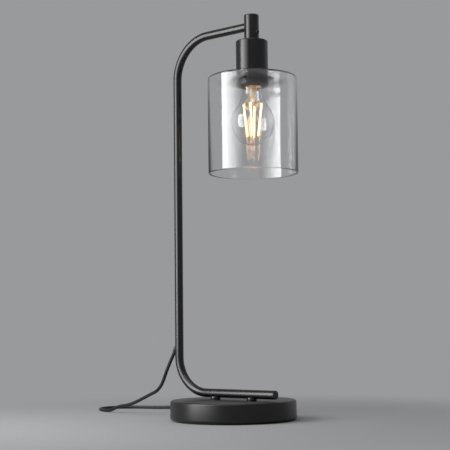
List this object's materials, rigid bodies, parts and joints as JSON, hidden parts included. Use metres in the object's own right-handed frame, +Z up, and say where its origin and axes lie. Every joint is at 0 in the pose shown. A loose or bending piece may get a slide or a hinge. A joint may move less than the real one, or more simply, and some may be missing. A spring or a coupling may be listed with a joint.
{
  "type": "table lamp",
  "caption": "Table lamp: weighted disc base, one bent tube as leg, post and arm, clear glass cylinder shade on a threaded lampholder, corded with an inline switch and a plug.",
  "frame": {"origin": "centre of the base's underside, on the surface that the lamp stands on", "axes": "+Z up, +X from the post towards the head, along the arm and the leg"},
  "size_m": [0.4075, 0.2721, 0.5595],
  "materials": {
    "black_satin": "satin black powder coat",
    "black_moulded": "black moulded plastic",
    "black_glossy": "glossy black moulded plastic",
    "black_phenolic": "black phenolic moulding",
    "cord_sheath": "black flexible sheath",
    "cast_iron": "rough cast",
    "foot_pad": "matte",
    "zinc_steel": "zinc plated",
    "nylon": "natural nylon",
    "live_sheath": "brown core insulation",
    "neutral_sheath": "blue core insulation",
    "ceramic": "glazed ceramic",
    "contact_brass": "bright",
    "clear_glass": "clear, polished",
    "bulb_clear_glass": "clear, thin",
    "bulb_cap_metal": "bright",
    "bulb_black_glass": "black glass",
    "solder": "dull",
    "filament_glow": "lit, warm",
    "support_wire": "drawn wire",
    "pin_metal": "nickel plated"
  },
  "bodies": {
    "stand": {"base_cover": "black_satin", "base_weight": "cast_iron", "base_pad": "foot_pad", "foot_bolts": "zinc_steel", "foot_washers": "zinc_steel", "rear_spacer": "black_glossy", "front_spacer": "black_glossy", "arm_tube": "black_satin", "arm_end_cap": "black_moulded", "tube_bushes": "zinc_steel", "inner_lead": "cord_sheath", "cord_grommet": "black_moulded", "lead_grip": "nylon", "live_core": "live_sheath", "neutral_core": "neutral_sheath", "head_hub": "black_satin", "hub_screw": "black_satin", "holder_cup": "black_satin", "threaded_nipple": "zinc_steel", "nipple_nut": "zinc_steel", "lampholder_body": "black_phenolic", "lampholder_cap": "black_phenolic", "contact_block": "ceramic", "terminals": "contact_brass", "screw_shell": "contact_brass", "centre_contact": "contact_brass", "shade_ring": "black_phenolic", "glass_shade": "clear_glass", "cord_lead": "cord_sheath", "cord_middle": "cord_sheath", "cord_coil": "cord_sheath", "coil_tie": "black_moulded", "cord_tail": "cord_sheath", "switch_base": "black_moulded", "switch_cover": "black_moulded", "switch_screws": "zinc_steel", "switch_contacts": "contact_brass", "plug_boot": "black_moulded", "plug_body": "black_moulded", "plug_pins": "pin_metal", "plug_pin_sleeves": "black_moulded"},
    "rocker": {"switch_rocker": "black_moulded"},
    "bulb_carrier": {"bulb_contact": "solder"},
    "bulb": {"bulb_insulator": "bulb_black_glass", "bulb_cap": "bulb_cap_metal", "bulb_glass": "bulb_clear_glass", "bulb_stem": "bulb_clear_glass", "filaments": "filament_glow", "filament_supports": "support_wire"}
  },
  "joints": [
    {"name": "switch_rock", "type": "hinge", "parent": "stand", "child": "rocker", "pos_m": [-0.15, 0.114, 0.0125], "axis": [0.0523, 0.9986, 0], "range_deg": [-16, 0]},
    {"name": "bulb_drop", "type": "slide", "parent": "stand", "child": "bulb_carrier", "axis": [0, 0, -1], "range_m": [0, 0.0182]},
    {"name": "bulb_turn", "type": "hinge", "parent": "bulb_carrier", "child": "bulb", "pos_m": [0.04, 0, 0.47], "axis": [0, 0, -1], "range_deg": [0, 1800]}
  ],
  "couplings": [
    {"joint": "bulb_drop", "follows": "bulb_turn", "m_per_rad": 0.00057757}
  ]
}
